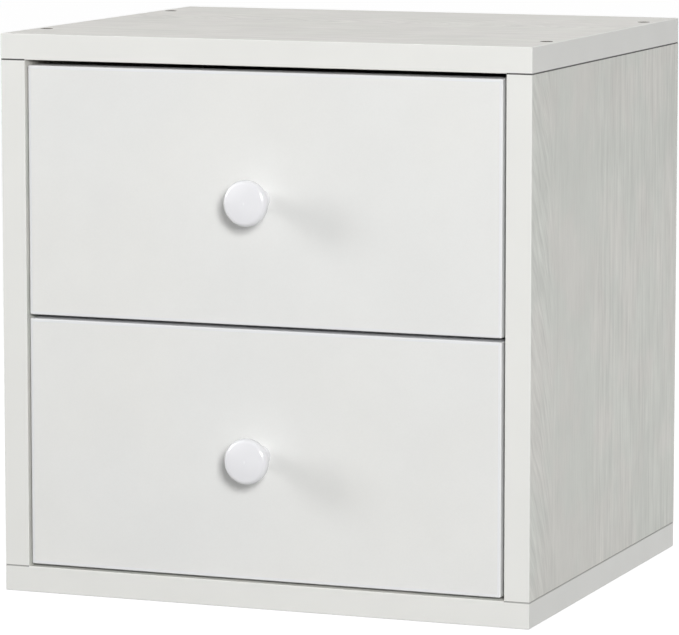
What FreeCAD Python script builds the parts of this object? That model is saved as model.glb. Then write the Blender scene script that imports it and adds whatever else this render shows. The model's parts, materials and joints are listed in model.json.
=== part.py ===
import FreeCAD, Part
import math
import os
import re

import Sketcher

# Storage cube with two drawers, in millimetres. Z is up, the fronts face -Y, and the
# origin is the middle of the carcass's footprint on the floor.

SIZES = {
    # carcass of laminated board
    "carcass_width": 345,
    "carcass_depth": 295,
    "carcass_height": 348,
    "board": 16,
    "band": 0.8,
    "band_flat": 0.3,
    "seam_chamfer": 0.4,
    "back_board": 3,
    "back_inset": 10,
    "groove_depth": 5,
    "groove_play": 0.2,
    "panel_play": 0.4,
    # fits of fasteners in their holes
    "hole_play": 0.05,
    "end_play": 0.5,
    "drive_reach": 1.7,
    "drive_width": 0.9,
    "drive_depth": 1.4,
    # dowels between the panels, and the open holes that take stacking dowels
    "dowel_radius": 4,
    "dowel_length": 30,
    "dowel_in_face": 10,
    "dowel_inset": 25.5,
    "dowel_chamfer": 0.8,
    "stack_hole_radius": 4,
    "stack_hole_depth": 10,
    "stack_hole_inset": 50,
    # cams and cam bolts under the top panel
    "cam_inset": 87.5,
    "cam_radius": 7.5,
    "cam_thickness": 12.5,
    "cam_setback": 34,
    "cam_flush": 0.2,
    "cam_slot_play": 0.3,
    "bolt_thread_radius": 2.9,
    "bolt_thread_length": 11,
    "bolt_shank_radius": 3,
    "bolt_neck_radius": 2,
    "bolt_neck_length": 6,
    "bolt_head_radius": 3.2,
    "bolt_head_height": 3.6,
    # screws up through the bottom panel
    "base_screw_inset": 87.5,
    "base_screw_radius": 3.2,
    "base_screw_length": 50,
    "base_screw_head_radius": 5,
    "base_screw_head_height": 3.4,
    "base_screw_sunk": 0.3,
    "base_screw_key": 4,
    "base_screw_key_depth": 3,
    # drawer fronts, hung a little to the left
    "front_recess": 1.8,
    "front_board": 16,
    "front_side_gap": 2.1,
    "front_shift": 0.75,
    "top_gap": 3.4,
    "middle_gap": 2.4,
    "bottom_gap": 1.6,
    "front_band": 2,
    "front_band_flat": 1.1,
    # drawer boxes
    "side_board": 12,
    "box_lift": 12,
    "box_headroom": 27.8,
    "box_rear_gap": 14.2,
    "bottom_board": 3,
    "bottom_height": 5,
    "box_groove_depth": 5,
    # dowels, cams and bolts between a drawer's front and its sides
    "peg_radius": 3,
    "peg_length": 25,
    "peg_in_front": 8,
    "peg_chamfer": 0.6,
    "peg_low": 34,
    "peg_below_top": 19,
    "lock_radius": 6,
    "lock_thickness": 9.5,
    "lock_setback": 24,
    "pin_thread_radius": 2.4,
    "pin_thread_length": 10,
    "pin_shank_radius": 2,
    "pin_neck_radius": 1.4,
    "pin_neck_length": 5,
    "pin_head_radius": 2.4,
    "pin_head_height": 2.8,
    # screws through a drawer's sides into its back
    "back_screw_radius": 2,
    "back_screw_length": 35,
    "back_screw_head_radius": 3.6,
    "back_screw_head_height": 2.4,
    "back_screw_low": 32,
    "back_screw_below_top": 21,
    # knobs, each on a machine screw from inside the drawer
    "knob_radius": 14,
    "knob_length": 28,
    "knob_crown": 1.9,
    "knob_rim": 4.4,
    "knob_rim_flat": 0.2,
    "knob_under_round": 1.2,
    "knob_foot_radius": 6.2,
    "knob_foot_height": 1.5,
    "knob_foot_round": 0.6,
    "knob_waist_radius": 5.6,
    "knob_waist_start": 7,
    "knob_waist_end": 13,
    "knob_neck_round": 3.5,
    "knob_screw_radius": 2,
    "knob_screw_in_knob": 12,
    "knob_screw_head_radius": 4,
    "knob_screw_head_height": 2.4,
    # roller runners of bent steel
    "runner_space": 12.5,
    "rail_steel": 1.2,
    "rail_lip_gap": 1.6,
    "rail_foot": 10,
    "rail_front_gap": 2.2,
    "track_wall_gap": 2,
    "track_gap": 0.5,
    "channel_drop": 1,
    "rollers_apart": 33.8,
    "stop_height": 2,
    "stop_length": 3,
    "stop_gap": 0.5,
    "notch_play": 2,
    # rollers and the rivets that they turn on
    "roller_radius": 8.5,
    "roller_side_gap": 1,
    "roller_round": 0.6,
    "roller_setback": 12,
    "roller_gap": 0.3,
    "roller_top_gap": 0.5,
    "roller_bore_play": 0.05,
    "hub_radius": 4.2,
    "hub_gap": 0.2,
    "cabinet_hub": 0.4,
    "drawer_hub": 1.8,
    "rivet_radius": 2.5,
    "rivet_head_radius": 4,
    "rivet_head_height": 0.8,
    "rivet_head_play": 0.1,
    "roller_recess_radius": 4.6,
    "roller_recess_depth": 1.1,
    # screws that hold the rails
    "rail_screw_radius": 1.75,
    "rail_screw_head_radius": 3.2,
    "rail_screw_head_height": 0.7,
    "rail_screw_tip": 2,
    "cabinet_screw_length": 13,
    "cabinet_screw_front": 35,
    "cabinet_screw_before_end": 25,
    "drawer_screw_length": 10,
    "drawer_screw_front": 40,
    "drawer_screw_before_end": 60,
}

PLACES = {
    "half_width": "carcass_width / 2",
    "half_depth": "carcass_depth / 2",
    "inner_x": "half_width - board",
    "panel_middle_x": "half_width - board / 2",
    "inner_top": "carcass_height - board",
    "back_rear_y": "half_depth - back_inset",
    "back_front_y": "back_rear_y - back_board",
    "dowel_y": "half_depth - dowel_inset",
    "stack_y": "half_depth - stack_hole_inset",
    "cam_y": "half_depth - cam_inset",
    "cam_z": "inner_top - cam_setback",
    "band_round": "band - band_flat",
    "base_screw_y": "half_depth - base_screw_inset",
    "front_y": "front_recess - half_depth",
    "front_rear_y": "front_y + front_board",
    "front_x": "inner_x - front_side_gap",
    "front_left_x": "-front_x - front_shift",
    "front_right_x": "front_x - front_shift",
    "front_round": "front_band - front_band_flat",
    "front_height": "(inner_top - board - bottom_gap - middle_gap - top_gap) / 2",
    "lower_front_z": "board + bottom_gap",
    "upper_front_z": "lower_front_z + front_height + middle_gap",
    "lower_box_z": "lower_front_z + box_lift",
    "upper_box_z": "upper_front_z + box_lift",
    "side_height": "front_height - box_lift - box_headroom",
    "box_x": "inner_x - runner_space",
    "box_inner_x": "box_x - side_board",
    "side_middle_x": "box_x - side_board / 2",
    "box_rear_y": "back_front_y - box_rear_gap",
    "box_back_y": "box_rear_y - side_board",
    "back_screw_y": "box_rear_y - side_board / 2",
    "lock_y": "front_rear_y + lock_setback",
    "peg_high": "side_height - peg_below_top",
    "lock_height": "(peg_low + peg_high) / 2",
    "back_screw_high": "side_height - back_screw_below_top",
    "knob_front_round": "knob_rim - knob_rim_flat - knob_under_round",
    # heights of the runner's parts above the lower edge of a drawer's sides
    "channel_floor": "-channel_drop",
    "drawer_roller_height": "channel_floor + roller_gap + roller_radius",
    "channel_ceiling": "drawer_roller_height + roller_radius + roller_top_gap",
    "track_height": "channel_ceiling + rail_steel + track_gap",
    "cabinet_roller_height": "track_height - roller_gap - roller_radius",
    "rail_middle_height": "(channel_floor + channel_ceiling) / 2",
    "groove_top_height": "bottom_height + bottom_board + groove_play",
    "drawer_screw_height": "(groove_top_height + track_height) / 2",
    # the runner along the depth
    "rail_length": "box_rear_y - front_rear_y",
    "cabinet_rail_y": "front_rear_y + rail_front_gap",
    "cabinet_roller_y": "cabinet_rail_y + roller_setback",
    "drawer_roller_y": "front_rear_y + rail_length - roller_setback",
    "stop_drop": "roller_radius + roller_gap - stop_height",
    "stop_y": "cabinet_roller_y + rollers_apart - stop_gap"
              " - sqrt(roller_radius ^ 2 - stop_drop ^ 2)",
    "notch_y": "cabinet_roller_y + roller_radius + notch_play",
    "cabinet_screw_rear": "rail_length - cabinet_screw_before_end",
    "drawer_screw_rear": "rail_length - drawer_screw_before_end",
    # the runner across its space
    "cabinet_web_x": "inner_x - rail_steel",
    "drawer_web_x": "box_x + rail_steel",
    "rail_lip_x": "drawer_web_x + rail_lip_gap",
    "roller_width": "runner_space - 2 * rail_steel - rail_screw_head_height"
                    " - roller_side_gap - drawer_hub - hub_gap",
}

SIDES = {"left": -1, "right": 1}
LEVELS = ("upper", "lower")
ENDS = (-1, 1)

# The sketch plane, with 1 where its normal runs along the axis and -1 where against it.
PLANES = {"XY": ("XY_Plane", 1), "XZ": ("XZ_Plane", -1), "YZ": ("YZ_Plane", 1)}

doc = FreeCAD.newDocument("storage_cube")
subparts = []


def bound(text):
    """The formula with each name led by the sheet that holds it."""
    def owner(match):
        name = match.group()
        if name in SIZES:
            return "Sizes." + name
        if name in PLACES:
            return "Places." + name
        return name
    return re.sub(r"[a-z_]+", owner, text)


def fill_sheet(label, cells):
    """A sheet with a name and a content in each row."""
    sheet = doc.addObject("Spreadsheet::Sheet", label)
    for row, (name, content) in enumerate(cells.items(), 1):
        sheet.set(f"A{row}", name)
        sheet.set(f"B{row}", content)
        sheet.setAlias(f"B{row}", name)
    doc.recompute()
    return sheet


fill_sheet("Sizes", {name: str(size) for name, size in SIZES.items()})
places = fill_sheet("Places", {name: "=" + bound(text) for name, text in PLACES.items()})


def amount(text):
    """The present value of a formula."""
    return float(places.evalExpression(bound(text)))


def bind(thing, setting, text):
    thing.setExpression(setting, bound(text))


def signed(sign, text):
    return f"-({text})" if sign < 0 else text


def across(sign, near, far):
    """Low and high X of a span given by its distances from the middle plane."""
    return (signed(sign, far), signed(sign, near)) if sign < 0 else (near, far)


def box(low_a, low_b, high_a, high_b):
    return [(low_a, low_b), (high_a, low_b), (high_a, high_b), (low_a, high_b)]


def strip_box(span, low_b, high_b):
    """A rectangle over a span of X."""
    return box(span[0], low_b, span[1], high_b)


def cross(a, b):
    """Outline of a cross recess about a point."""
    reach, half = "drive_reach", "drive_width / 2"
    steps = [(half, half), (half, reach), (f"-{half}", reach), (f"-{half}", half)]
    corners = []
    for _ in range(4):
        corners += [(f"{a} + ({x})", f"{b} + ({y})") for x, y in steps[:3]]
        steps = [(f"-({y})", x) for x, y in steps]
    return corners


def hexagon(a, b, flats):
    """Outline of a hexagon about a point, from its width across flats."""
    radius = f"{flats} / 2 / cos(30)"
    return [(f"{a} + {radius} * cos({turn})", f"{b} + {radius} * sin({turn})")
            for turn in range(30, 390, 60)]


def new_body(label):
    body = doc.addObject("PartDesign::Body", label)
    body.Label = label
    return body


def new_part(label):
    """A body that is one of the object's pieces."""
    body = new_body(label)
    subparts.append(body)
    return body


def new_sketch(body, plane, height, shift=("0", "0")):
    """A sketch on one of the body's own planes, moved to a height along its axis."""
    role, sense = PLANES[plane]
    sketch = body.newObject("Sketcher::SketchObject", "Sketch")
    support = next(feature for feature in body.Origin.OriginFeatures if feature.Role == role)
    sketch.AttachmentSupport = [(support, "")]
    sketch.MapMode = "FlatFace"
    bind(sketch, "AttachmentOffset.Base.x", shift[0])
    bind(sketch, "AttachmentOffset.Base.y", shift[1])
    bind(sketch, "AttachmentOffset.Base.z", signed(sense, height))
    return sketch


def pin(sketch, geometry, end, a, b):
    """Hold a point of the sketch at two formulas, or on an axis where one is 0."""
    for kind, axis, text in (("DistanceX", -2, a), ("DistanceY", -1, b)):
        if text == "0":
            sketch.addConstraint(Sketcher.Constraint("PointOnObject", geometry, end, axis))
        else:
            held = Sketcher.Constraint(kind, -1, 1, geometry, end, amount(text))
            bind(sketch, f"Constraints[{sketch.addConstraint(held)}]", text)


def point(corner):
    return FreeCAD.Vector(amount(corner[0]), amount(corner[1]), 0)


def draw_outline(sketch, corners):
    first = sketch.GeometryCount
    count = len(corners)
    for i, corner in enumerate(corners):
        sketch.addGeometry(Part.LineSegment(point(corner), point(corners[(i + 1) % count])))
    for i, corner in enumerate(corners):
        after = first + (i + 1) % count
        sketch.addConstraint(Sketcher.Constraint("Coincident", first + i, 2, after, 1))
        pin(sketch, first + i, 1, *corner)


def draw_circle(sketch, a, b, radius):
    circle = Part.Circle(point((a, b)), FreeCAD.Vector(0, 0, 1), amount(radius))
    geometry = sketch.addGeometry(circle)
    pin(sketch, geometry, 3, a, b)
    held = sketch.addConstraint(Sketcher.Constraint("Radius", geometry, amount(radius)))
    bind(sketch, f"Constraints[{held}]", radius)


def draw(sketch, shapes):
    """Circles are tuples of centre and radius, outlines are lists of corners."""
    for shape in shapes:
        if isinstance(shape, tuple):
            draw_circle(sketch, *shape)
        else:
            draw_outline(sketch, shape)


def add(body, plane, low, high, *shapes):
    """Pad the shapes from one coordinate to a higher one."""
    sketch = new_sketch(body, plane, low if PLANES[plane][1] > 0 else high)
    draw(sketch, shapes)
    pad = body.newObject("PartDesign::Pad", "Pad")
    pad.Profile = sketch
    bind(pad, "Length", f"({high}) - ({low})")
    return pad


def cut(body, plane, low, high, *shapes):
    """Pocket the shapes from one coordinate to a higher one."""
    sketch = new_sketch(body, plane, high if PLANES[plane][1] > 0 else low)
    draw(sketch, shapes)
    pocket = body.newObject("PartDesign::Pocket", "Pocket")
    pocket.Profile = sketch
    bind(pocket, "Length", f"({high}) - ({low})")
    return pocket


def turn(body, axis, place, profile, feature="Revolution"):
    """Turn a profile of distances along the axis and radii about an axis through place."""
    x, y, z = place
    if axis == "Y":
        sketch = new_sketch(body, "YZ", x, (y, z))
    else:
        sketch = new_sketch(body, "XZ", y, (x, z))
    if axis == "Z":
        draw_outline(sketch, [(radius, along) for along, radius in profile])
    else:
        draw_outline(sketch, profile)
    turned = body.newObject("PartDesign::" + feature, feature)
    turned.Profile = sketch
    turned.ReferenceAxis = (sketch, ["V_Axis" if axis == "Z" else "H_Axis"])
    turned.Angle = 360
    return turned


def ease_edges(body, feature, setting, size, wanted):
    """Fillet or chamfer the edges of the body so far for which wanted is true."""
    doc.recompute()
    base = body.Tip
    names = [f"Edge{i}" for i, edge in enumerate(base.Shape.Edges, 1) if wanted(edge)]
    eased = body.newObject("PartDesign::" + feature, feature)
    eased.Base = (base, names)
    bind(eased, setting, size)


def round_edges(body, radius, wanted):
    ease_edges(body, "Fillet", "Radius", radius, wanted)


def chamfer_edges(body, size, wanted):
    ease_edges(body, "Chamfer", "Size", size, wanted)


def corners_of(edge):
    return [vertex.Point for vertex in edge.Vertexes]


def block(body, low, high):
    """A board from its low to its high corner."""
    add(body, "XY", low[2], high[2], box(low[0], low[1], high[0], high[1]))


def grid(x, y):
    """The four places at plus and minus x and y."""
    return [(signed(i, x), signed(j, y)) for i in ENDS for j in ENDS]


def discs(places_on_plane, radius):
    return [(a, b, radius) for a, b in places_on_plane]


def group(label, bodies):
    """Bodies that share one node as separate solids."""
    joined = doc.addObject("Part::Compound", label)
    joined.Label = label
    joined.Links = bodies
    subparts.append(joined)


# Carcass panels

def panel_holes(panel, face, inward, far):
    """Holes in the inner face of the top or bottom panel, and the groove for the back."""
    def span(depth):
        end = f"{face} + {depth}" if inward > 0 else f"{face} - ({depth})"
        return (face, end) if inward > 0 else (end, face)

    cut(panel, "XY", *span("(dowel_in_face + end_play)"),
        *discs(grid("panel_middle_x", "dowel_y"), "dowel_radius + hole_play"))
    cut(panel, "XY", *span("groove_depth"),
        box("band - half_width", "back_front_y - groove_play", "half_width - band", "back_rear_y"))
    stack = (f"{far} - stack_hole_depth", far) if inward > 0 else (far, f"{far} + stack_hole_depth")
    cut(panel, "XY", *stack, *discs(grid("panel_middle_x", "stack_y"), "stack_hole_radius"))


def make_top_panel():
    panel = new_part("top_panel")
    block(panel, ("band - half_width", "band - half_depth", "inner_top"),
          ("half_width - band", "half_depth - band", "carcass_height"))
    panel_holes(panel, "inner_top", 1, "carcass_height")
    cut(panel, "XY", "inner_top", "inner_top + bolt_thread_length + end_play",
        *discs(grid("panel_middle_x", "cam_y"), "bolt_thread_radius + hole_play"))


def make_bottom_panel():
    panel = new_part("bottom_panel")
    block(panel, ("band - half_width", "band - half_depth", "0"),
          ("half_width - band", "half_depth - band", "board"))
    panel_holes(panel, "board", -1, "0")
    for x, y in grid("panel_middle_x", "base_screw_y"):
        turn(panel, "Z", (x, y, "0"), [
            ("0", "0"),
            ("0", "base_screw_head_radius + hole_play"),
            ("base_screw_sunk", "base_screw_head_radius + hole_play"),
            ("base_screw_sunk + base_screw_head_height", "base_screw_radius + hole_play"),
            ("board", "base_screw_radius + hole_play"),
            ("board", "0"),
        ], "Groove")


def make_side_panel(side, sign):
    panel = new_part(f"{side}_side_panel")
    low_x, high_x = across(sign, "inner_x", "half_width")
    middle = signed(sign, "panel_middle_x")
    block(panel, (low_x, "band - half_depth", "board"), (high_x, "half_depth", "inner_top"))
    # a fine nick shows where the panel meets the top and the bottom
    outer = sign * amount("half_width")
    chamfer_edges(panel, "seam_chamfer", lambda edge: runs_along(edge, "y", "x", outer))
    dowel_reach = "dowel_length - dowel_in_face + end_play"
    dowels = discs([(middle, signed(j, "dowel_y")) for j in ENDS], "dowel_radius + hole_play")
    cut(panel, "XY", f"inner_top - ({dowel_reach})", "inner_top", *dowels)
    cut(panel, "XY", "board", f"board + {dowel_reach}", *dowels)
    cut(panel, "XY", "cam_z", "inner_top",
        *discs([(middle, signed(j, "cam_y")) for j in ENDS], "bolt_head_radius + cam_slot_play"))
    cut(panel, "YZ", *across(sign, "inner_x", "inner_x + cam_flush + cam_thickness + cam_slot_play"),
        *discs([(signed(j, "cam_y"), "cam_z") for j in ENDS], "cam_radius + hole_play"))
    cut(panel, "XY", "board", "base_screw_sunk + base_screw_length + end_play",
        *discs([(middle, signed(j, "base_screw_y")) for j in ENDS], "base_screw_radius + hole_play"))
    groove = across(sign, "inner_x", "inner_x + groove_depth")
    cut(panel, "XY", "board", "inner_top",
        strip_box(groove, "back_front_y - groove_play", "back_rear_y"))
    screws = [(f"cabinet_rail_y + {at}", f"{level}_box_z + rail_middle_height")
              for level in LEVELS for at in ("cabinet_screw_front", "cabinet_screw_rear")]
    cut(panel, "YZ", *across(sign, "inner_x", "cabinet_web_x + cabinet_screw_length + end_play"),
        *discs(screws, "rail_screw_radius + hole_play"))


def make_back_panel():
    panel = new_part("back_panel")
    half = "inner_x + groove_depth - panel_play"
    block(panel, (f"-({half})", "back_front_y", "board - groove_depth"),
          (half, "back_rear_y", "inner_top + groove_depth - panel_play"))


# Edge bands

def make_panel_bands(label, low_z, high_z):
    """Four strips round the edges of the top or bottom panel."""
    strips = []
    for end in ENDS:
        strip = new_body(f"{label}_long_strip")
        low_y, high_y = across(end, "half_depth - band", "half_depth")
        block(strip, ("-half_width", low_y, low_z), ("half_width", high_y, high_z))
        inner = end * amount("half_depth - band")
        round_edges(strip, "band_round",
                    lambda edge: any(abs(p.y - inner) > 0.01 for p in corners_of(edge)))
        strips.append(strip)
    for end in ENDS:
        strip = new_body(f"{label}_short_strip")
        low_x, high_x = across(end, "half_width - band", "half_width")
        block(strip, (low_x, "band - half_depth", low_z), (high_x, "half_depth - band", high_z))
        outer = end * amount("half_width")
        round_edges(strip, "band_round", lambda edge: runs_along(edge, "y", "x", outer))
        strips.append(strip)
    group(label, strips)


def runs_along(edge, direction, held, value):
    """Whether an edge runs along one axis at a value of another."""
    first, last = corners_of(edge)
    moved = abs(getattr(first, direction) - getattr(last, direction)) > 0.01
    return moved and all(abs(getattr(p, held) - value) < 0.01 for p in (first, last))


def make_side_bands():
    strips = []
    for side, sign in SIDES.items():
        strip = new_body(f"{side}_side_strip")
        low_x, high_x = across(sign, "inner_x", "half_width")
        block(strip, (low_x, "-half_depth", "board"), (high_x, "band - half_depth", "inner_top"))
        front = -amount("half_depth")
        outer = sign * amount("half_width")
        chamfer_edges(strip, "seam_chamfer", lambda edge: (
            runs_along(edge, "x", "y", front) or runs_along(edge, "y", "x", outer)))
        round_edges(strip, "band_round", lambda edge: runs_along(edge, "z", "y", front))
        strips.append(strip)
    group("side_panel_edge_bands", strips)


# Fasteners of the carcass

def dowel_profile(length, radius, chamfer):
    return [
        ("0", "0"),
        ("0", f"{radius} - {chamfer}"),
        (chamfer, radius),
        (f"{length} - {chamfer}", radius),
        (length, f"{radius} - {chamfer}"),
        (length, "0"),
    ]


def make_dowels(label, low_z):
    dowels = new_part(label)
    for x, y in grid("panel_middle_x", "dowel_y"):
        turn(dowels, "Z", (x, y, low_z),
             dowel_profile("dowel_length", "dowel_radius", "dowel_chamfer"))


def make_cam_locks():
    """Cams in the inner faces of the side panels."""
    locks = new_part("cam_locks")
    face = "inner_x + cam_flush"
    room = "(bolt_head_radius + cam_slot_play)"
    centres = [(signed(j, "cam_y"), "cam_z") for j in ENDS]
    for sign in SIDES.values():
        add(locks, "YZ", *across(sign, face, f"{face} + cam_thickness"),
            *discs(centres, "cam_radius"))
    for sign in SIDES.values():
        cut(locks, "YZ", *across(sign, f"panel_middle_x - {room}", f"panel_middle_x + {room}"),
            *[box(f"{a} - {room}", f"{b} - {room}", f"{a} + {room}", f"{b} + cam_radius + end_play")
              for a, b in centres])
        cut(locks, "YZ", *across(sign, face, f"{face} + drive_depth"),
            *[cross(a, b) for a, b in centres])


def stud_profile(shape, length):
    """A cam bolt from its head, through its neck and shank, to the end of its thread."""
    return [
        (f"-{shape}_head_height / 2", "0"),
        (f"-{shape}_head_height / 2", f"{shape}_head_radius"),
        (f"{shape}_head_height / 2", f"{shape}_head_radius"),
        (f"{shape}_head_height / 2", f"{shape}_neck_radius"),
        (f"{shape}_neck_length", f"{shape}_neck_radius"),
        (f"{shape}_neck_length", f"{shape}_shank_radius"),
        (length, f"{shape}_shank_radius"),
        (length, f"{shape}_thread_radius"),
        (f"{length} + {shape}_thread_length", f"{shape}_thread_radius"),
        (f"{length} + {shape}_thread_length", "0"),
    ]


def make_cam_bolts():
    bolts = new_part("cam_bolts")
    for x, y in grid("panel_middle_x", "cam_y"):
        turn(bolts, "Z", (x, y, "cam_z"), stud_profile("bolt", "cam_setback"))


def make_base_screws():
    screws = new_part("base_screws")
    for x, y in grid("panel_middle_x", "base_screw_y"):
        turn(screws, "Z", (x, y, "base_screw_sunk"), [
            ("0", "0"),
            ("0", "base_screw_head_radius"),
            ("base_screw_head_height", "base_screw_radius"),
            ("base_screw_length - base_screw_radius", "base_screw_radius"),
            ("base_screw_length", "base_screw_radius / 3"),
            ("base_screw_length", "0"),
        ])
    cut(screws, "XY", "base_screw_sunk", "base_screw_sunk + base_screw_key_depth",
        *[hexagon(x, y, "base_screw_key") for x, y in grid("panel_middle_x", "base_screw_y")])


# Runners

def rail_z(level, height):
    return f"{level}_box_z + {height}"


def make_cabinet_rail(level, side, sign):
    """A channel on the side panel, open towards the drawer."""
    rail = new_part(f"{level}_{side}_cabinet_rail")
    wall, web, lip = (signed(sign, x) for x in ("inner_x", "cabinet_web_x", "rail_lip_x"))
    floor = rail_z(level, "channel_floor")
    ceiling = rail_z(level, "channel_ceiling")
    add(rail, "XZ", "cabinet_rail_y", "cabinet_rail_y + rail_length", [
        (wall, f"{floor} - rail_steel"),
        (lip, f"{floor} - rail_steel"),
        (lip, floor),
        (web, floor),
        (web, ceiling),
        (lip, ceiling),
        (lip, f"{ceiling} + rail_steel"),
        (wall, f"{ceiling} + rail_steel"),
    ])
    flange = across(sign, "rail_lip_x", "cabinet_web_x")
    cut(rail, "XY", ceiling, f"{ceiling} + rail_steel",
        strip_box(flange, "cabinet_rail_y", "notch_y"))
    add(rail, "XY", floor, f"{floor} + stop_height",
        strip_box(flange, "stop_y - stop_length", "stop_y"))
    cut(rail, "YZ", *across(sign, "cabinet_web_x", "inner_x"),
        ("cabinet_roller_y", rail_z(level, "cabinet_roller_height"), "rivet_radius + hole_play"),
        *discs([(f"cabinet_rail_y + {at}", rail_z(level, "rail_middle_height"))
                for at in ("cabinet_screw_front", "cabinet_screw_rear")],
               "rail_screw_radius + hole_play"))


def make_drawer_rail(level, side, sign):
    """A foot under the drawer's side, a web beside it and a track above the channel."""
    rail = new_part(f"{level}_{side}_drawer_rail")
    inside, outside = signed(sign, "box_x"), signed(sign, "drawer_web_x")
    toe, edge = signed(sign, "box_x - rail_foot"), signed(sign, "inner_x - track_wall_gap")
    under = f"{level}_box_z"
    track = rail_z(level, "track_height")
    add(rail, "XZ", "front_rear_y", "front_rear_y + rail_length", [
        (toe, under),
        (inside, under),
        (inside, f"{track} + rail_steel"),
        (edge, f"{track} + rail_steel"),
        (edge, track),
        (outside, track),
        (outside, f"{under} - rail_steel"),
        (toe, f"{under} - rail_steel"),
    ])
    cut(rail, "YZ", *across(sign, "box_x", "drawer_web_x"),
        ("drawer_roller_y", rail_z(level, "drawer_roller_height"), "rivet_radius + hole_play"),
        *discs([(f"front_rear_y + {at}", rail_z(level, "drawer_screw_height"))
                for at in ("drawer_screw_front", "drawer_screw_rear")],
               "rail_screw_radius + hole_play"))


def axial(sign, base, profile):
    """A profile measured from a plane at base, outwards where sign is 1."""
    return [(f"{base} + ({along})" if sign > 0 else f"{base} - ({along})", radius)
            for along, radius in profile]


def roller_profile(hub):
    """A roller from its hub by the rail to its recess for the rivet's head."""
    start = f"hub_gap + {hub}"
    end = f"{start} + roller_width"
    bore = "rivet_radius + roller_bore_play"
    return [
        ("hub_gap", bore),
        ("hub_gap", "hub_radius"),
        (start, "hub_radius"),
        (start, "roller_radius - roller_round"),
        (f"{start} + roller_round", "roller_radius"),
        (f"{end} - roller_round", "roller_radius"),
        (end, "roller_radius - roller_round"),
        (end, "roller_recess_radius"),
        (f"{end} - roller_recess_depth", "roller_recess_radius"),
        (f"{end} - roller_recess_depth", bore),
    ]


def rivet_profile(hub):
    """A rivet from the far face of the rail to its head in the roller's recess."""
    seat = f"hub_gap + {hub} + roller_width - roller_recess_depth + rivet_head_play"
    return [
        ("-rail_steel", "0"),
        ("-rail_steel", "rivet_radius"),
        (seat, "rivet_radius"),
        (seat, "rivet_head_radius"),
        (f"{seat} + rivet_head_height", "rivet_head_radius"),
        (f"{seat} + rivet_head_height", "0"),
    ]


def turn_on_rail(body, sign, kind, level, profile):
    """Turn a profile on the roller's axis of one rail. It runs away from the rail's web."""
    if kind == "cabinet":
        web, away = "cabinet_web_x", -sign
    else:
        web, away = "drawer_web_x", sign
    place = ("0", f"{kind}_roller_y", rail_z(level, f"{kind}_roller_height"))
    turn(body, "X", place, axial(away, signed(sign, web), profile))


def make_roller(kind, level, side, sign):
    roller = new_part(f"{level}_{side}_{kind}_roller")
    turn_on_rail(roller, sign, kind, level, roller_profile(f"{kind}_hub"))


def make_rivets(label, kind, levels):
    rivets = new_part(label)
    for level in levels:
        for sign in SIDES.values():
            turn_on_rail(rivets, sign, kind, level, rivet_profile(f"{kind}_hub"))


def rail_screw_profile(length):
    """A flat-headed screw, from the top of its head to its point."""
    return [
        ("-rail_screw_head_height", "0"),
        ("-rail_screw_head_height", "rail_screw_head_radius"),
        ("0", "rail_screw_head_radius"),
        ("0", "rail_screw_radius"),
        (f"{length} - rail_screw_tip", "rail_screw_radius"),
        (length, "0"),
    ]


def make_rail_screws(label, levels, kind):
    """Screws through the rails' webs into the board behind them."""
    if kind == "cabinet":
        web, into, start, height = "cabinet_web_x", 1, "cabinet_rail_y", "rail_middle_height"
    else:
        web, into, start, height = "drawer_web_x", -1, "front_rear_y", "drawer_screw_height"
    screws = new_part(label)
    centres = [(f"{start} + {kind}_screw_{end}", rail_z(level, height))
               for level in levels for end in ("front", "rear")]
    for sign in SIDES.values():
        for y, z in centres:
            turn(screws, "X", ("0", y, z),
                 axial(sign * into, signed(sign, web), rail_screw_profile(f"{kind}_screw_length")))
    for sign in SIDES.values():
        top, foot = "-rail_screw_head_height", "drive_depth - rail_screw_head_height"
        if into > 0:
            span = across(sign, f"{web} + ({top})", f"{web} + {foot}")
        else:
            span = across(sign, f"{web} - ({foot})", f"{web} - ({top})")
        cut(screws, "YZ", *span, *[cross(y, z) for y, z in centres])


# Drawers

def groove_span(level):
    low = f"{level}_box_z + bottom_height"
    return low, f"{low} + bottom_board + groove_play"


def peg_heights(level):
    """Heights of the dowels between a drawer's front and a side."""
    return [f"{level}_box_z + {name}" for name in ("peg_low", "peg_high")]


def lock_z(level):
    """Height of the cam and its bolt between those dowels."""
    return f"{level}_box_z + lock_height"


def knob_z(level):
    return f"{level}_front_z + front_height / 2"


def make_drawer_front(level):
    front = new_part(f"{level}_drawer_front")
    base = f"{level}_front_z"
    block(front, ("front_left_x + front_band", "front_y", f"{base} + front_band"),
          ("front_right_x - front_band", "front_rear_y", f"{base} + front_height - front_band"))
    reach = "box_inner_x + box_groove_depth"
    cut(front, "XZ", "front_rear_y - box_groove_depth", "front_rear_y",
        strip_box((f"-({reach})", reach), *groove_span(level)))
    sides = [signed(sign, "side_middle_x") for sign in SIDES.values()]
    cut(front, "XZ", "front_rear_y - peg_in_front - end_play", "front_rear_y",
        *discs([(x, z) for x in sides for z in peg_heights(level)], "peg_radius + hole_play"))
    cut(front, "XZ", "front_rear_y - pin_thread_length - end_play", "front_rear_y",
        *discs([(x, lock_z(level)) for x in sides], "pin_thread_radius + hole_play"))
    cut(front, "XZ", "front_y", "front_rear_y",
        ("-front_shift", knob_z(level), "knob_screw_radius + hole_play"))


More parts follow.
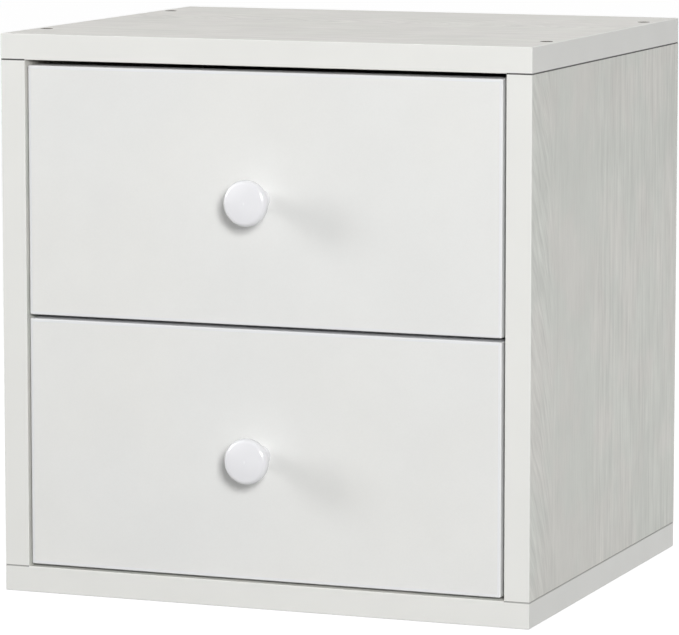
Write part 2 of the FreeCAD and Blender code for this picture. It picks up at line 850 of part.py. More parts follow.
def make_front_bands(level):
    """Thick strips on the four edges of a drawer front, rounded at the front."""
    base = f"{level}_front_z"
    top = f"{base} + front_height"
    strips = []
    face = amount("front_y")
    for low_z, high_z in ((base, f"{base} + front_band"), (f"{top} - front_band", top)):
        strip = new_body(f"{level}_front_long_strip")
        block(strip, ("front_left_x", "front_y", low_z), ("front_right_x", "front_rear_y", high_z))
        inner = amount(high_z if low_z == base else low_z)
        round_edges(strip, "front_round", lambda edge: (
            any(abs(p.z - inner) > 0.01 for p in corners_of(edge))
            and any(abs(p.y - face) < 0.01 for p in corners_of(edge))))
        strips.append(strip)
    for side, sign in SIDES.items():
        strip = new_body(f"{level}_front_short_strip")
        end_x = f"front_{side}_x"
        seat_x = f"{end_x} - ({signed(sign, 'front_band')})"
        low_x, high_x = (end_x, seat_x) if sign < 0 else (seat_x, end_x)
        block(strip, (low_x, "front_y", f"{base} + front_band"),
              (high_x, "front_rear_y", f"{top} - front_band"))
        outer = amount(end_x)
        round_edges(strip, "front_round", lambda edge: (
            runs_along(edge, "z", "x", outer) and runs_along(edge, "z", "y", face)))
        strips.append(strip)
    group(f"{level}_front_edge_bands", strips)


def make_drawer_side(level, side, sign):
    panel = new_part(f"{level}_drawer_{side}_side")
    low_z = f"{level}_box_z"
    low_x, high_x = across(sign, "box_inner_x", "box_x")
    block(panel, (low_x, "front_rear_y", low_z), (high_x, "box_rear_y", f"{low_z} + side_height"))
    groove = across(sign, "box_inner_x", "box_inner_x + box_groove_depth")
    cut(panel, "XZ", "front_rear_y", "box_rear_y", strip_box(groove, *groove_span(level)))
    middle = signed(sign, "side_middle_x")
    cut(panel, "XZ", "front_rear_y", "front_rear_y + peg_length - peg_in_front + end_play",
        *discs([(middle, z) for z in peg_heights(level)], "peg_radius + hole_play"))
    cut(panel, "XZ", "front_rear_y", "lock_y",
        (middle, lock_z(level), "pin_head_radius + cam_slot_play"))
    cut(panel, "YZ", *across(sign, "box_x - cam_flush - lock_thickness - cam_slot_play", "box_x"),
        ("lock_y", lock_z(level), "lock_radius + hole_play"))
    cut(panel, "YZ", *across(sign, "drawer_web_x - drawer_screw_length - end_play", "box_x"),
        *discs([(f"front_rear_y + {at}", rail_z(level, "drawer_screw_height"))
                for at in ("drawer_screw_front", "drawer_screw_rear")],
               "rail_screw_radius + hole_play"))
    for z in back_screw_heights(level):
        turn(panel, "X", ("0", "back_screw_y", z),
             axial(-sign, signed(sign, "box_x"), [
                 ("0", "0"),
                 ("0", "back_screw_head_radius + hole_play"),
                 ("back_screw_head_height", "back_screw_radius + hole_play"),
                 ("side_board", "back_screw_radius + hole_play"),
                 ("side_board", "0"),
             ]), "Groove")


def back_screw_heights(level):
    return [f"{level}_box_z + {name}" for name in ("back_screw_low", "back_screw_high")]


def make_drawer_back(level):
    panel = new_part(f"{level}_drawer_back")
    low_z = f"{level}_box_z"
    block(panel, ("-box_inner_x", "box_back_y", low_z),
          ("box_inner_x", "box_rear_y", f"{low_z} + side_height"))
    cut(panel, "XZ", "box_back_y", "box_back_y + box_groove_depth",
        strip_box(("-box_inner_x", "box_inner_x"), *groove_span(level)))
    for sign in SIDES.values():
        cut(panel, "YZ", *across(sign, "box_x - back_screw_length - end_play", "box_inner_x"),
            *discs([("back_screw_y", z) for z in back_screw_heights(level)],
                   "back_screw_radius + hole_play"))


def make_drawer_bottom(level):
    panel = new_part(f"{level}_drawer_bottom")
    low_z = groove_span(level)[0]
    reach = "box_inner_x + box_groove_depth - panel_play"
    block(panel, (f"-({reach})", "front_rear_y - box_groove_depth + panel_play", low_z),
          (reach, "box_back_y + box_groove_depth - panel_play", f"{low_z} + bottom_board"))


def make_front_pegs(level):
    pegs = new_part(f"{level}_front_dowels")
    for sign in SIDES.values():
        for z in peg_heights(level):
            turn(pegs, "Y", (signed(sign, "side_middle_x"), "front_rear_y - peg_in_front", z),
                 dowel_profile("peg_length", "peg_radius", "peg_chamfer"))


def make_front_cams(level):
    """Cams in the outer faces of a drawer's sides."""
    cams = new_part(f"{level}_front_cams")
    z = lock_z(level)
    face = "box_x - cam_flush"
    room = "(pin_head_radius + cam_slot_play)"
    for sign in SIDES.values():
        add(cams, "YZ", *across(sign, f"{face} - lock_thickness", face),
            ("lock_y", z, "lock_radius"))
    for sign in SIDES.values():
        cut(cams, "YZ", *across(sign, f"side_middle_x - {room}", f"side_middle_x + {room}"),
            box("lock_y - lock_radius - end_play", f"{z} - {room}", f"lock_y + {room}", f"{z} + {room}"))
        cut(cams, "YZ", *across(sign, f"{face} - drive_depth", face), cross("lock_y", z))


def make_front_cam_bolts(level):
    bolts = new_part(f"{level}_front_cam_bolts")
    for sign in SIDES.values():
        turn(bolts, "Y", (signed(sign, "side_middle_x"), "0", lock_z(level)),
             axial(-1, "lock_y", stud_profile("pin", "lock_setback")))


def make_back_screws(level):
    screws = new_part(f"{level}_back_screws")
    for sign in SIDES.values():
        for z in back_screw_heights(level):
            turn(screws, "X", ("0", "back_screw_y", z),
                 axial(-sign, signed(sign, "box_x"), [
                     ("0", "0"),
                     ("0", "back_screw_head_radius"),
                     ("back_screw_head_height", "back_screw_radius"),
                     ("back_screw_length - back_screw_radius", "back_screw_radius"),
                     ("back_screw_length", "0"),
                 ]))
    for sign in SIDES.values():
        cut(screws, "YZ", *across(sign, "box_x - drive_depth", "box_x"),
            *[cross("back_screw_y", z) for z in back_screw_heights(level)])


def make_knob(level):
    """A mushroom knob: foot, waist, and a head with a rounded rim and a low dome."""
    knob = new_part(f"{level}_knob")
    sketch = new_sketch(knob, "YZ", "-front_shift", ("0", knob_z(level)))
    rim = "knob_length - knob_crown"
    steps = [
        ("0", "0"),
        ("0", "knob_foot_radius"),
        ("knob_foot_height", "knob_foot_radius"),
        ("knob_waist_start", "knob_waist_radius"),
        ("knob_waist_end", "knob_waist_radius"),
        (f"{rim} - knob_rim", "knob_radius"),
        (rim, "knob_radius"),
        ("knob_length", "0"),
    ]
    corners = axial(-1, "front_y", steps)
    lines = len(corners) - 2
    for i in range(lines):
        sketch.addGeometry(Part.LineSegment(point(corners[i]), point(corners[i + 1])))
    dome_radius = "(knob_radius ^ 2 + knob_crown ^ 2) / (2 * knob_crown)"
    middle = point((f"front_y - knob_length + {dome_radius}", "0"))
    circle = Part.Circle(middle, FreeCAD.Vector(0, 0, 1), amount(dome_radius))
    spread = math.asin(amount("knob_radius") / amount(dome_radius))
    dome = sketch.addGeometry(Part.ArcOfCircle(circle, math.pi - spread, math.pi))
    axis = sketch.addGeometry(Part.LineSegment(point(corners[-1]), point(corners[0])))
    for i in range(lines):
        sketch.addConstraint(Sketcher.Constraint("Coincident", i, 2, i + 1, 1))
    sketch.addConstraint(Sketcher.Constraint("Coincident", dome, 2, axis, 1))
    sketch.addConstraint(Sketcher.Constraint("Coincident", axis, 2, 0, 1))
    sketch.addConstraint(Sketcher.Constraint("PointOnObject", dome, 3, -1))
    for i, corner in enumerate(corners[:-1]):
        pin(sketch, i, 1, *corner)
    pin(sketch, axis, 1, *corners[-1])
    head = knob.newObject("PartDesign::Revolution", "Revolution")
    head.Profile = sketch
    head.ReferenceAxis = (sketch, ["H_Axis"])
    head.Angle = 360

    def on_circle(along, radius):
        y, r = amount(f"front_y - ({along})"), amount(radius)
        return lambda edge: (len(edge.Vertexes) == 1
                             and abs(edge.Vertexes[0].Y - y) < 0.01
                             and abs(edge.Length - 2 * math.pi * r) < 0.01)

    round_edges(knob, "knob_front_round", on_circle(rim, "knob_radius"))
    round_edges(knob, "knob_under_round", on_circle(f"{rim} - knob_rim", "knob_radius"))
    round_edges(knob, "knob_foot_round", on_circle("knob_foot_height", "knob_foot_radius"))
    waist = [on_circle(at, "knob_waist_radius") for at in ("knob_waist_start", "knob_waist_end")]
    round_edges(knob, "knob_neck_round", lambda edge: any(test(edge) for test in waist))
    cut(knob, "XZ", "front_y - knob_screw_in_knob - end_play", "front_y",
        ("-front_shift", knob_z(level), "knob_screw_radius + hole_play"))


def make_knob_screw(level):
    screw = new_part(f"{level}_knob_screw")
    turn(screw, "Y", ("-front_shift", "0", knob_z(level)), axial(-1, "front_rear_y", [
        ("-knob_screw_head_height", "0"),
        ("-knob_screw_head_height", "knob_screw_head_radius * 0.8"),
        ("-knob_screw_head_height / 2", "knob_screw_head_radius"),
        ("0", "knob_screw_head_radius"),
        ("0", "knob_screw_radius"),
        ("front_board + knob_screw_in_knob", "knob_screw_radius"),
        ("front_board + knob_screw_in_knob", "0"),
    ]))
    cut(screw, "XZ", "front_rear_y + knob_screw_head_height - drive_depth",
        "front_rear_y + knob_screw_head_height", cross("-front_shift", knob_z(level)))


def make_carcass():
    make_top_panel()
    make_bottom_panel()
    for side, sign in SIDES.items():
        make_side_panel(side, sign)
    make_back_panel()
    make_panel_bands("top_panel_edge_bands", "inner_top", "carcass_height")
    make_panel_bands("bottom_panel_edge_bands", "0", "board")
    make_side_bands()
    make_dowels("top_dowels", "inner_top + dowel_in_face - dowel_length")
    make_dowels("bottom_dowels", "board - dowel_in_face")
    make_cam_locks()
    make_cam_bolts()
    make_base_screws()
    for level in LEVELS:
        for side, sign in SIDES.items():
            make_cabinet_rail(level, side, sign)
            make_roller("cabinet", level, side, sign)
    make_rail_screws("cabinet_rail_screws", LEVELS, "cabinet")
    make_rivets("cabinet_roller_rivets", "cabinet", LEVELS)


def make_drawer(level):
    make_drawer_front(level)
    make_front_bands(level)
    for side, sign in SIDES.items():
        make_drawer_side(level, side, sign)
        make_drawer_rail(level, side, sign)
        make_roller("drawer", level, side, sign)
    make_drawer_back(level)
    make_drawer_bottom(level)
    make_front_pegs(level)
    make_front_cams(level)
    make_front_cam_bolts(level)
    make_back_screws(level)
    make_rail_screws(f"{level}_drawer_rail_screws", [level], "drawer")
    make_rivets(f"{level}_drawer_roller_rivets", "drawer", [level])
    make_knob(level)
    make_knob_screw(level)


make_carcass()
for level in LEVELS:
    make_drawer(level)
doc.recompute()

for thing in doc.Objects:
    if "Invalid" in thing.State or "Error" in thing.State:
        raise RuntimeError(f"{thing.Label} ({thing.Name}) is {thing.State}")
for part in subparts:
    if part.Shape.isNull() or not part.Shape.isValid():
        raise RuntimeError(f"{part.Label} has no valid shape")

os.makedirs("parts", exist_ok=True)
for part in subparts:
    part.Shape.exportStep(f"parts/{part.Label}.step")
print(len(subparts), "parts,", sum(len(part.Shape.Solids) for part in subparts), "solids")
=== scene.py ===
import json
import math

import bpy
from mathutils import Matrix, Vector


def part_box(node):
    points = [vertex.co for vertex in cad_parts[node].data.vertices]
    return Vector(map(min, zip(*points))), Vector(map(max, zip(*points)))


# Looks of a white storage cube with two drawers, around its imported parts. Metres, Z up. The
# fronts face -Y and the cube stands on the floor at Z 0.

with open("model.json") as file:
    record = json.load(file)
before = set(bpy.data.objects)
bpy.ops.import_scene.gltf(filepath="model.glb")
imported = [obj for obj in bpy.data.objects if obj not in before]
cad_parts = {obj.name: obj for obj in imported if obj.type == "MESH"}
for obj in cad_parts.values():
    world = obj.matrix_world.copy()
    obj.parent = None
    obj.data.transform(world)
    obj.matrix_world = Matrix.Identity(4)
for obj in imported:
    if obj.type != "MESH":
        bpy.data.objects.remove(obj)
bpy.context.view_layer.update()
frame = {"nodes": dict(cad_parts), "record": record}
NODES = frame["nodes"]

MM = 0.001
X, Y, Z = range(3)


# Material nodes

def rgb(red, green, blue):
    return (red, green, blue, 1.0)


class Recipe:
    """A material's nodes. Arguments are sockets, numbers or tuples."""

    def __init__(self, name, **shader):
        self.material = bpy.data.materials.new(name)
        self.material.use_nodes = True
        self.tree = self.material.node_tree
        self.surface = self.tree.nodes["Principled BSDF"]
        for socket, value in shader.items():
            self.surface.inputs[socket.replace("_", " ")].default_value = value
        place = self.tree.nodes.new("ShaderNodeTexCoord")
        self.object_spot = place.outputs["Object"]
        self.normal = place.outputs["Normal"]

    def put(self, socket, value):
        if isinstance(value, bpy.types.NodeSocket):
            self.tree.links.new(value, socket)
        else:
            socket.default_value = value

    def node(self, kind, inputs, **settings):
        made = self.tree.nodes.new("ShaderNode" + kind)
        for name, value in settings.items():
            setattr(made, name, value)
        for socket, value in inputs.items():
            self.put(made.inputs[socket], value)
        return made

    def spot(self, scale=(1, 1, 1), shift=(0, 0, 0)):
        """Object coordinates, scaled after a shift in metres."""
        moved = self.node("VectorMath", {0: self.object_spot, 1: shift}).outputs[0]
        return self.node("VectorMath", {0: moved, 1: scale}, operation="MULTIPLY").outputs[0]

    def part(self, vector, axis):
        return self.node("SeparateXYZ", {0: vector}).outputs[axis]

    def noise(self, vector, scale, detail=2.0, roughness=0.5, distortion=0.0):
        made = self.node("TexNoise", {"Vector": vector, "Scale": scale, "Detail": detail,
                                      "Roughness": roughness, "Distortion": distortion})
        return made.outputs["Fac"]

    def math(self, operation, a, b=0.0, c=0.0):
        return self.node("Math", {0: a, 1: b, 2: c}, operation=operation).outputs[0]

    def plus(self, a, b):
        return self.math("ADD", a, b)

    def minus(self, a, b):
        return self.math("SUBTRACT", a, b)

    def times(self, a, b):
        return self.math("MULTIPLY", a, b)

    def times_plus(self, a, b, c):
        return self.math("MULTIPLY_ADD", a, b, c)

    def size(self, a):
        return self.math("ABSOLUTE", a)

    def span(self, value, low, high, to_low=0.0, to_high=1.0):
        """The value taken from one range to another, smoothed and clamped."""
        made = self.node("MapRange", {"Value": value, "From Min": low, "From Max": high,
                                      "To Min": to_low, "To Max": to_high},
                         interpolation_type="SMOOTHSTEP")
        return made.outputs[0]

    def drift(self, vector, scale, to_low=0.0, to_high=1.0, low=0.3, high=0.7, **noise):
        """A value that wanders between two bounds."""
        return self.span(self.noise(vector, scale, **noise), low, high, to_low, to_high)

    def mix(self, share, a, b, blend="MIX"):
        made = self.node("Mix", {0: share, 6: a, 7: b}, data_type="RGBA", blend_type=blend)
        return made.outputs[2]

    def shade(self, color, level):
        """A colour times a grey level."""
        grey = self.node("CombineColor", {0: level, 1: level, 2: level}).outputs[0]
        return self.mix(1.0, color, grey, "MULTIPLY")

    def finish(self, color, rough, height, strength, distance):
        """Join colour, roughness and a bump over the height to the surface."""
        bump = self.node("Bump", {"Height": height, "Strength": strength, "Distance": distance})
        self.put(self.surface.inputs["Base Color"], color)
        self.put(self.surface.inputs["Roughness"], rough)
        self.put(self.surface.inputs["Normal"], bump.outputs[0])
        return self.material


# Colours

LAMINATE_COOL = rgb(0.740, 0.753, 0.708)
LAMINATE_WARM = rgb(0.770, 0.762, 0.721)
LAMINATE_ROSY = rgb(0.779, 0.764, 0.729)
BAND_WHITE = rgb(0.803, 0.803, 0.775)
FRONT_WHITE = rgb(0.800, 0.800, 0.783)
FRONT_TINTS = rgb(1.0, 1.0, 0.994), rgb(0.994, 0.998, 1.0)
FRONT_BAND_WHITE = rgb(0.806, 0.812, 0.822)
KNOB_WHITE = rgb(0.818, 0.818, 0.842)
STEEL_WHITE = rgb(0.82, 0.82, 0.80)
ROLLER_WHITE = rgb(0.78, 0.77, 0.73)
ROLLER_RUBBED = rgb(0.70, 0.69, 0.66)
ZINC_TONES = rgb(0.62, 0.63, 0.66), rgb(0.76, 0.75, 0.72)
BEECH_TONES = rgb(0.48, 0.31, 0.17), rgb(0.66, 0.48, 0.30)
BEECH_FLECK = rgb(0.36, 0.21, 0.11)
HARDBOARD_BROWN = rgb(0.300, 0.190, 0.110)

# Tints that drift over a laminate, chipboard's tones on raw edges, and in drilled holes
# chipboard's tones darkened nearly to black as painted shade
COOL_TINTS = LAMINATE_COOL, LAMINATE_WARM
WARM_TINTS = LAMINATE_WARM, LAMINATE_ROSY
RAW_CORE = rgb(0.280, 0.180, 0.100), rgb(0.560, 0.430, 0.290)
HOLE_CORE_AND_SHADE = rgb(0.045, 0.038, 0.030), rgb(0.130, 0.116, 0.098)


# Boards

# Grain of the laminate: how long it is drawn, and the size of its lines per metre
GRAIN_DRAW = 0.07
GRAIN_LINES = {"scale": 280.0, "detail": 2.0, "roughness": 0.7}
LINE_STRENGTH = 0.08, 0.41
# Nested arches: their blunt tips, how far they wander, how fast they narrow along the grain, how
# straight a line runs on in them, where straight lines take over, and how much stronger they are
ARCH_TIP = 16 * MM
ARCH_WANDER = 20 * MM
ARCH_RISE = 0.40
ARCH_RUN = 0.09
ARCH_FADE = 34 * MM, 62 * MM
ARCH_EXTRA = 0.14
# A calm strip runs beside the arches, so far from their middle
CALM_OFF = 96 * MM
CALM_FADE = 22 * MM, 52 * MM

# Painted shade in the seams of the sides with the top and the bottom, for the shadow in the
# joints' narrow gaps: level at the darkest, and where it fades
TOP_SEAM_SHADE = 0.10
BOTTOM_SEAM_SHADE = 0.50
SEAM_FADE = 0.28 * MM, 0.66 * MM


def chipboard(recipe, spot, dark, light):
    """Colour of raw chipboard: pressed flakes of mixed tones."""
    flakes = recipe.node("TexVoronoi", {"Vector": spot, "Scale": 900.0}, feature="F1")
    tone = recipe.part(flakes.outputs["Color"], 0)
    dust = recipe.noise(spot, 2400.0, detail=3.0)
    return recipe.mix(recipe.plus(recipe.times(tone, 0.6), recipe.times(dust, 0.4)), dark, light)


def seam_painted_shade(recipe):
    """Painted shade: darker hairlines where the side boards meet the top and the bottom, for the
    shadow in the joints' gaps.
    """
    low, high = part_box("right_side_panel")
    height = recipe.part(recipe.object_spot, Z)
    shade = 1.0
    for seam, darkest in ((high[2], TOP_SEAM_SHADE), (low[2], BOTTOM_SEAM_SHADE)):
        off = recipe.size(recipe.minus(height, seam))
        shade = recipe.times(shade, recipe.span(off, *SEAM_FADE, darkest, 1.0))
    beside = recipe.size(recipe.part(recipe.object_spot, X))
    over_a_side = recipe.math("GREATER_THAN", beside, low[0])
    return recipe.minus(1.0, recipe.times(over_a_side, recipe.minus(1.0, shade)))


def grain_streaks(recipe, grained, along, flame):
    """Level of the grain's lines: nested arches near the flame's line, straight ones elsewhere."""
    beside = recipe.part(recipe.object_spot, Y)
    height = recipe.part(recipe.object_spot, along)
    wander = recipe.times(recipe.minus(recipe.noise(grained, 40.0), 0.5), ARCH_WANDER)
    aside = recipe.plus(recipe.minus(beside, flame), wander)
    bend = recipe.math("SQRT", recipe.times_plus(aside, aside, ARCH_TIP ** 2))
    ring = recipe.times_plus(height, ARCH_RISE, bend)
    arched = recipe.node("CombineXYZ", {0: ring, 1: recipe.times(height, ARCH_RUN)}).outputs[0]
    near = recipe.span(recipe.size(aside), *ARCH_FADE, 1.0, 0.0)
    straight = recipe.noise(grained, **GRAIN_LINES)
    bent = recipe.minus(recipe.noise(arched, **GRAIN_LINES), straight)
    lines = recipe.plus(straight, recipe.times(near, bent))
    from_calm = recipe.size(recipe.minus(beside, flame + CALM_OFF))
    strength = recipe.times_plus(near, ARCH_EXTRA,
                                 recipe.span(from_calm, *CALM_FADE, *LINE_STRENGTH))
    return recipe.times_plus(recipe.minus(lines, 0.5), strength, 1.0)


def laminate(name, along, seed, flame, tints, core):
    """White-washed ash over chipboard, with its grain along X or Z.

    flame is where across the grain, in metres, its nested arches stand. tints is the pair of tones
    that drift over the face, and core the pair in the board's holes and raw edges, nearly black as
    painted shade in drilled holes."""
    recipe = Recipe(name, Specular_IOR_Level=0.25)
    draw = [1.0, 1.0, 1.0]
    draw[along] = GRAIN_DRAW
    grained = recipe.spot(draw, seed)
    plain = recipe.spot(shift=seed)

    color = recipe.mix(recipe.drift(plain, 17.0, low=0.40, high=0.60), *tints)
    pores = recipe.drift(grained, 1300.0, 0.975, 1.022, roughness=0.6)
    blotches = recipe.drift(plain, 24.0, 0.976, 1.024, detail=3.0)
    streaks = grain_streaks(recipe, grained, along, flame)
    figure = recipe.times(recipe.times(streaks, pores), blotches)
    upright = along == Z
    # Side boards get the painted shade of their seams with the top and the bottom.
    face = recipe.shade(color, recipe.times(figure, seam_painted_shade(recipe)) if upright else figure)

    # Faces across the board take the core's tones, nearly black as painted shade in drilled holes.
    facing = recipe.size(recipe.part(recipe.normal, X if upright else Z))
    shows_core = recipe.span(facing, 0.5, 0.6, 1.0, 0.0)
    finished = recipe.mix(shows_core, face, chipboard(recipe, plain, *core))
    relief = recipe.plus(recipe.times(figure, 6.0), recipe.noise(grained, 2600.0))
    return recipe.finish(finished, recipe.drift(grained, 500.0, 0.42, 0.54),
                         relief, 0.16, 0.10 * MM)


def edge_band(name, color, roughness, seed, seams):
    """Smooth plastic edge band with faint clouds, and a painted highlight that makes its rounded
    edges a little lighter.
    """
    recipe = Recipe(name, Specular_IOR_Level=0.45)
    spot = recipe.spot(shift=seed)
    clouds = recipe.drift(spot, 24.0, 0.990, 1.008, detail=3.0)
    # Painted highlight: up to 9% lighter where the normal leans away from all three axes, on the
    # roundings.
    turned = 0.0
    for axis in (X, Y, Z):
        turned = recipe.math("MAXIMUM", turned, recipe.size(recipe.part(recipe.normal, axis)))
    level = recipe.times(clouds, recipe.span(turned, 0.80, 0.985, 1.09, 1.0))
    # Painted shade in the seams, for the carcass's bands.
    if seams:
        level = recipe.times(level, seam_painted_shade(recipe))
    rough = recipe.drift(spot, 60.0, roughness - 0.04, roughness + 0.04)
    return recipe.finish(recipe.shade(color, level), rough,
                         recipe.noise(spot, 1300.0, roughness=0.6), 0.05, 0.05 * MM)


def plain_laminate(name, seed):
    """Plain satin white laminate."""
    recipe = Recipe(name, Specular_IOR_Level=0.42)
    spot = recipe.spot(shift=seed)
    mottle = recipe.drift(spot, 17.0, 0.984, 1.010, 0.28, 0.72, detail=4.0, roughness=0.62)
    specks = recipe.drift(spot, 950.0, 0.994, 1.006, roughness=0.6)
    tint = recipe.mix(recipe.drift(spot, 9.0, low=0.35, high=0.65), *FRONT_TINTS)
    white = recipe.shade(FRONT_WHITE, recipe.times(mottle, specks))
    return recipe.finish(recipe.mix(1.0, white, tint, "MULTIPLY"),
                         recipe.drift(spot, 40.0, 0.44, 0.54),
                         recipe.noise(spot, 420.0), 0.05, 0.12 * MM)


def hardboard(name, white_axis, white_sign, seed):
    """Hardboard, painted white on the face that looks along the axis and raw elsewhere."""
    recipe = Recipe(name, Specular_IOR_Level=0.35)
    spot = recipe.spot(shift=seed)
    fibres = recipe.noise(spot, 700.0, detail=4.0, roughness=0.7, distortion=1.2)
    mottle = recipe.noise(spot, 26.0, detail=4.0, roughness=0.6)
    raw = recipe.shade(HARDBOARD_BROWN, recipe.plus(recipe.span(fibres, 0.25, 0.75, 0.72, 1.2),
                                                    recipe.span(mottle, 0.3, 0.7, -0.08, 0.10)))
    paint = recipe.shade(FRONT_WHITE, recipe.span(mottle, 0.3, 0.7, 0.97, 1.0))
    looking = recipe.times(recipe.part(recipe.normal, white_axis), white_sign)
    painted = recipe.span(looking, 0.5, 0.6)
    return recipe.finish(recipe.mix(painted, raw, paint),
                         recipe.span(painted, 0.0, 1.0, 0.72, 0.5), fibres, 0.22, 0.12 * MM)


# Fittings

def beech(name):
    """Bare turned beech with flecks along the grain."""
    recipe = Recipe(name, Specular_IOR_Level=0.3)
    tone = recipe.noise(recipe.spot((1, 1, 0.08)), 500.0, detail=3.0, roughness=0.6)
    flecks = recipe.drift(recipe.spot((1, 1, 0.2)), 1800.0, low=0.58, high=0.66, detail=1.0)
    color = recipe.mix(tone, *BEECH_TONES)
    color = recipe.mix(recipe.times(flecks, 0.5), color, BEECH_FLECK)
    return recipe.finish(color, recipe.span(tone, 0.2, 0.8, 0.55, 0.7), tone, 0.2, 0.1 * MM)


def knob_plastic(name):
    """Hard glossy white plastic, very slightly uneven as moulded."""
    recipe = Recipe(name, Specular_IOR_Level=0.2, Coat_Weight=1.0, Coat_Roughness=0.10,
                    Coat_IOR=1.8)
    spot = recipe.spot()
    clouds = recipe.drift(spot, 60.0, 0.988, 1.006)
    return recipe.finish(recipe.shade(KNOB_WHITE, clouds), recipe.drift(spot, 500.0, 0.30, 0.38),
                         recipe.noise(spot, 130.0, roughness=0.4), 0.03, 0.3 * MM)


def coated_steel(name):
    """White powder coat with its fine orange peel."""
    recipe = Recipe(name, Specular_IOR_Level=0.5)
    spot = recipe.spot()
    clouds = recipe.drift(spot, 30.0, 0.975, 1.0, detail=3.0)
    return recipe.finish(recipe.shade(STEEL_WHITE, clouds), recipe.drift(spot, 120.0, 0.30, 0.42),
                         recipe.noise(spot, 900.0), 0.12, 0.12 * MM)


def roller_plastic(name):
    """Natural white moulded plastic with rub marks round the tread."""
    recipe = Recipe(name, Specular_IOR_Level=0.45, Subsurface_Weight=0.08, Subsurface_Scale=0.002)
    rubs = recipe.noise(recipe.spot((1, 0.12, 0.12)), 3200.0, roughness=0.6)
    color = recipe.mix(recipe.span(rubs, 0.4, 0.7), ROLLER_WHITE, ROLLER_RUBBED)
    return recipe.finish(color, recipe.drift(recipe.spot(), 300.0, 0.36, 0.50),
                         rubs, 0.08, 0.08 * MM)


def zinc(name):
    """Bright zinc plate: fine scratches and a faint bluish spangle."""
    recipe = Recipe(name, Metallic=1.0)
    spot = recipe.spot()
    spangle = recipe.node("TexVoronoi", {"Vector": spot, "Scale": 1400.0}, feature="F1")
    color = recipe.mix(recipe.part(spangle.outputs["Color"], 0), *ZINC_TONES)
    scratches = recipe.noise(recipe.spot((1, 1, 0.1)), 5000.0, roughness=0.6)
    return recipe.finish(color, recipe.drift(spot, 800.0, 0.24, 0.40),
                         scratches, 0.1, 0.04 * MM)


# Materials on the parts

def dress_all():
    """Give every part its own material, or the one its slot shares."""
    shared = {
        "carcass_edge_band": edge_band("carcass_edge_band", BAND_WHITE, 0.40, (0.3, 0.1, 0.7),
                                       True),
        "front_edge_band": edge_band("front_edge_band", FRONT_BAND_WHITE, 0.34, (1.3, 2.1, 0.2),
                                     False),
        "drawer_board": plain_laminate("drawer_board", (3.1, 0.4, 1.7)),
        "beech": beech("beech"),
        "knob_plastic": knob_plastic("knob_plastic"),
        "coated_steel": coated_steel("coated_steel"),
        "roller_plastic": roller_plastic("roller_plastic"),
        "zinc": zinc("zinc"),
    }
    own = {
        "right_side_panel": laminate("laminate_right_side", Z, (0.0, 0.0, 0.0), -0.157,
                                     COOL_TINTS, RAW_CORE),
        "left_side_panel": laminate("laminate_left_side", Z, (2.7, 1.3, 0.9), 0.035,
                                    COOL_TINTS, RAW_CORE),
        "top_panel": laminate("laminate_top", X, (5.2, 3.9, 0.3), 0.030,
                              WARM_TINTS, HOLE_CORE_AND_SHADE),
        "bottom_panel": laminate("laminate_bottom", X, (7.7, 0.8, 4.1), -0.040,
                                 COOL_TINTS, HOLE_CORE_AND_SHADE),
        "upper_drawer_front": plain_laminate("front_laminate_upper", (0.9, 4.4, 2.2)),
        "lower_drawer_front": plain_laminate("front_laminate_lower", (6.1, 2.6, 5.8)),
        "back_panel": hardboard("hardboard_back", Y, -1, (1.9, 0.2, 3.3)),
        "upper_drawer_bottom": hardboard("hardboard_upper_bottom", Z, 1, (4.9, 5.2, 0.3)),
        "lower_drawer_bottom": hardboard("hardboard_lower_bottom", Z, 1, (8.9, 1.2, 6.3)),
    }
    for part in frame["record"]["subparts"]:
        node = part["node"]
        slots = NODES[node].data.materials
        slots.clear()
        slots.append(own[node] if node in own else shared[part["material_slot"]])


# Room

WORLD_LEVEL = 0.24
FLOOR_GREY = 0.25
FLOOR_GLOW = 0.93
FLOOR_HALF = 6.0
FLOOR_BELOW = -0.3 * MM
SUBJECT = Vector((0.0, -0.10, 0.18))
# Degrees right of the fronts' normal and above the floor, metres away, width and height, power
AREA_LIGHTS = {
    "key_box": (28.3, 15.0, 2.9, (0.46, 0.54), 57.1),
    "left_box": (-62, 18, 2.0, (0.6, 0.7), 11.2),
    "top_box": (160, 72, 2.0, (1.4, 1.4), 10.6),
    "side_box": (120, -7, 0.8, (0.5, 0.12), 0.58),
}
# A soft card that is only mirrored: where it stands, its half size and its glow
CARD = (-60, 25, 2.2, 2.4, 1.5)


def add_object(name, data):
    thing = bpy.data.objects.new(name, data)
    bpy.context.scene.collection.objects.link(thing)
    return thing


def place(thing, azimuth, elevation, away):
    """Set a lamp or card so many metres from the subject, facing it."""
    turn, tilt = math.radians(azimuth), math.radians(elevation)
    toward = Vector((math.sin(turn) * math.cos(tilt), -math.cos(turn) * math.cos(tilt),
                     math.sin(tilt)))
    thing.location = SUBJECT + toward * away
    thing.rotation_mode = "QUATERNION"
    thing.rotation_quaternion = (-toward).to_track_quat("-Z", "Y")


def add_light(name, azimuth, elevation, away, size, power):
    data = bpy.data.lights.new(name, "AREA")
    data.shape = "RECTANGLE"
    data.size, data.size_y = size
    data.energy = power
    place(add_object(name, data), azimuth, elevation, away)


def add_sheet(name, half, height=0.0):
    """A square sheet and the tree of its material, which has no shader yet."""
    corners = [(-half, -half, height), (half, -half, height),
               (half, half, height), (-half, half, height)]
    mesh = bpy.data.meshes.new(name)
    mesh.from_pydata(corners, [], [(0, 1, 2, 3)])
    material = bpy.data.materials.new(name)
    material.use_nodes = True
    material.node_tree.nodes.remove(material.node_tree.nodes["Principled BSDF"])
    mesh.materials.append(material)
    return add_object(name, mesh), material.node_tree


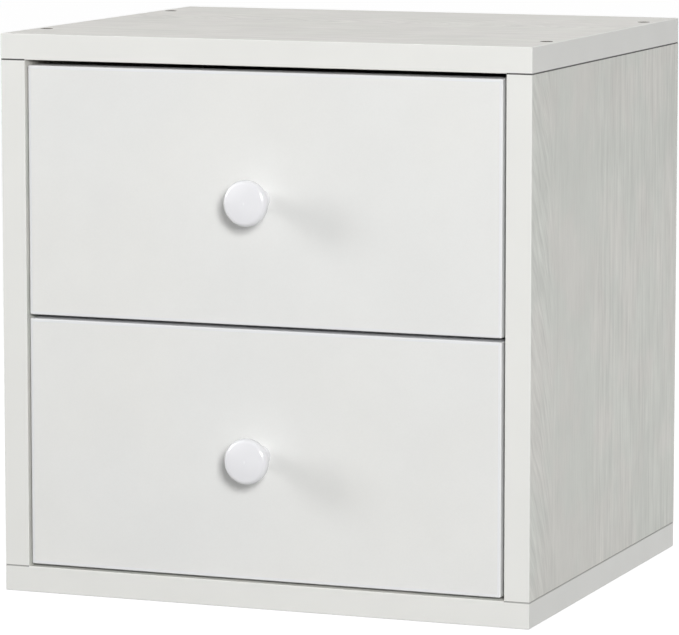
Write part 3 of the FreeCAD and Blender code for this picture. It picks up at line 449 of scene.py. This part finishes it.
def show_sum(tree, first, second):
    """Both shaders, added, are the surface."""
    both = tree.nodes.new("ShaderNodeAddShader")
    tree.links.new(first.outputs[0], both.inputs[0])
    tree.links.new(second.outputs[0], both.inputs[1])
    tree.links.new(both.outputs[0], tree.nodes["Material Output"].inputs["Surface"])


def seen_or_mirrored(tree):
    """1 where a surface is seen straight, in a gloss or through glass, and 0 in its light."""
    path = tree.nodes.new("ShaderNodeLightPath")
    total = path.outputs["Is Camera Ray"]
    for output in ("Is Glossy Ray", "Is Transmission Ray"):
        add = tree.nodes.new("ShaderNodeMath")
        add.operation = "MAXIMUM"
        tree.links.new(total, add.inputs[0])
        tree.links.new(path.outputs[output], add.inputs[1])
        total = add.outputs[0]
    return total


def make_world():
    """A plain dim world that is white where it is seen."""
    world = bpy.data.worlds.new("studio")
    bpy.context.scene.world = world
    world.use_nodes = True
    tree = world.node_tree
    background = tree.nodes["Background"]
    background.inputs["Color"].default_value = rgb(1, 1, 1)
    strength = tree.nodes.new("ShaderNodeMapRange")
    strength.inputs["To Min"].default_value = WORLD_LEVEL
    strength.inputs["To Max"].default_value = 1.0
    tree.links.new(seen_or_mirrored(tree), strength.inputs["Value"])
    tree.links.new(strength.outputs[0], background.inputs["Strength"])


def make_card():
    """A round card that glows towards its middle, seen in gloss alone."""
    azimuth, elevation, away, half, glow = CARD
    card, tree = add_sheet("card", half)
    place(card, azimuth, elevation, away)
    card.visible_camera = card.visible_diffuse = False
    card.visible_transmission = card.visible_shadow = False
    off = tree.nodes.new("ShaderNodeVectorMath")
    off.operation = "LENGTH"
    tree.links.new(tree.nodes.new("ShaderNodeTexCoord").outputs["Object"], off.inputs[0])
    fade = tree.nodes.new("ShaderNodeMapRange")
    fade.interpolation_type = "SMOOTHSTEP"
    fade.inputs["From Max"].default_value = half
    fade.inputs["To Min"].default_value = glow
    fade.inputs["To Max"].default_value = 0.0
    tree.links.new(off.outputs["Value"], fade.inputs["Value"])
    lit = tree.nodes.new("ShaderNodeEmission")
    tree.links.new(fade.outputs[0], lit.inputs["Strength"])
    show_sum(tree, lit, tree.nodes.new("ShaderNodeBsdfTransparent"))


def make_floor():
    """A white floor that glows a little where it is seen, and still shows the shadow."""
    floor, tree = add_sheet("floor", FLOOR_HALF, FLOOR_BELOW)
    matte = tree.nodes.new("ShaderNodeBsdfDiffuse")
    matte.inputs["Color"].default_value = rgb(FLOOR_GREY, FLOOR_GREY, FLOOR_GREY)
    glow_level = tree.nodes.new("ShaderNodeMath")
    glow_level.operation = "MULTIPLY"
    glow_level.inputs[1].default_value = FLOOR_GLOW
    tree.links.new(seen_or_mirrored(tree), glow_level.inputs[0])
    glow = tree.nodes.new("ShaderNodeEmission")
    tree.links.new(glow_level.outputs[0], glow.inputs["Strength"])
    show_sum(tree, matte, glow)


# Camera, fitted to the carcass's corners in the photograph with an unshifted lens

CAMERA_SPOT = (0.9962, -2.5806, 0.5258)
CAMERA_YAW = 21.227
CAMERA_PITCH = 7.497
CAMERA_LENS = 232.085
CAMERA_SENSOR = 36.0
CAMERA_REACH = 50.0


def make_camera():
    data = bpy.data.cameras.new("camera")
    data.lens = CAMERA_LENS
    data.sensor_width = CAMERA_SENSOR
    data.clip_end = CAMERA_REACH
    camera = add_object("camera", data)
    camera.matrix_world = (Matrix.Translation(CAMERA_SPOT)
                           @ Matrix.Rotation(math.radians(CAMERA_YAW), 4, "Z")
                           @ Matrix.Rotation(math.radians(90 - CAMERA_PITCH), 4, "X"))
    bpy.context.scene.camera = camera


dress_all()
make_world()
make_floor()
for light, settings in AREA_LIGHTS.items():
    add_light(light, *settings)
make_card()
make_camera()
bpy.context.scene.view_settings.view_transform = "Standard"
